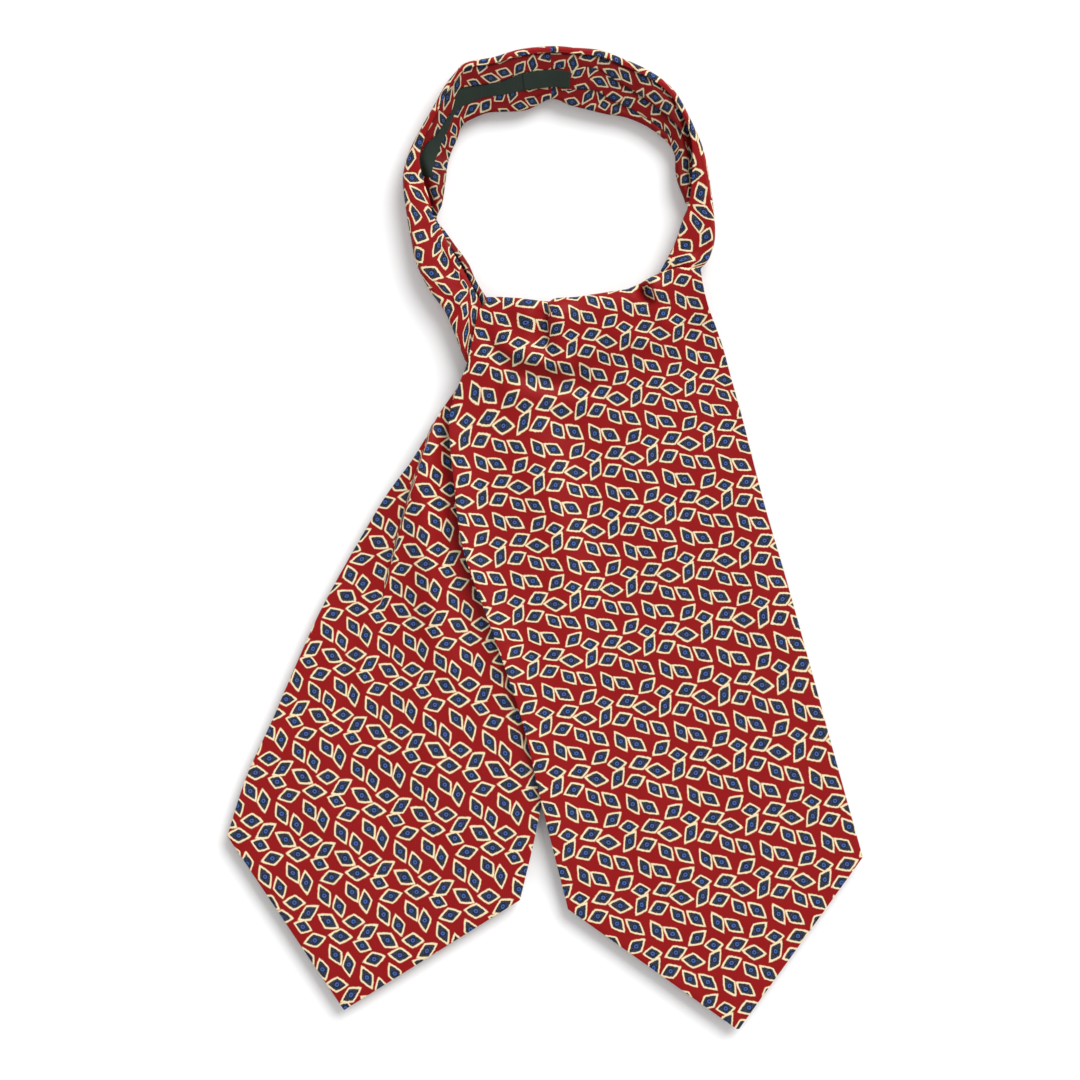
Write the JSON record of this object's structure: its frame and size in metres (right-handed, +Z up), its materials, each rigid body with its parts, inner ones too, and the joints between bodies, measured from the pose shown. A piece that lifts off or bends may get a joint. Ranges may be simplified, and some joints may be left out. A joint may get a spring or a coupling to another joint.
{
  "type": "silk cravat",
  "caption": "Silk day cravat lying flat, loosely tied: pleated neckband loop, pointed front blade over a pointed rear blade, rigid cloth.",
  "frame": {"origin": "on the surface it lies on, below the middle of the whole outline", "axes": "+Z up from the surface, +Y from the blades' points to the back of the neck, +X to the side that the front blade hangs to"},
  "size_m": [0.3494, 0.5406, 0.0136],
  "materials": {
    "printed_silk": "silk twill printed with small cream-edged navy lozenges on red, soft satin sheen",
    "woven_label": "dark green woven label tape, matt"
  },
  "bodies": {
    "root": {"front_blade": "printed_silk", "rear_blade": "printed_silk", "neckband_outer_left": "printed_silk", "neckband_outer_right": "printed_silk", "neckband_inner_left": "printed_silk", "neckband_inner_right": "printed_silk", "crossing": "printed_silk", "label_name": "woven_label", "label_fibre": "woven_label"}
  },
  "joints": []
}
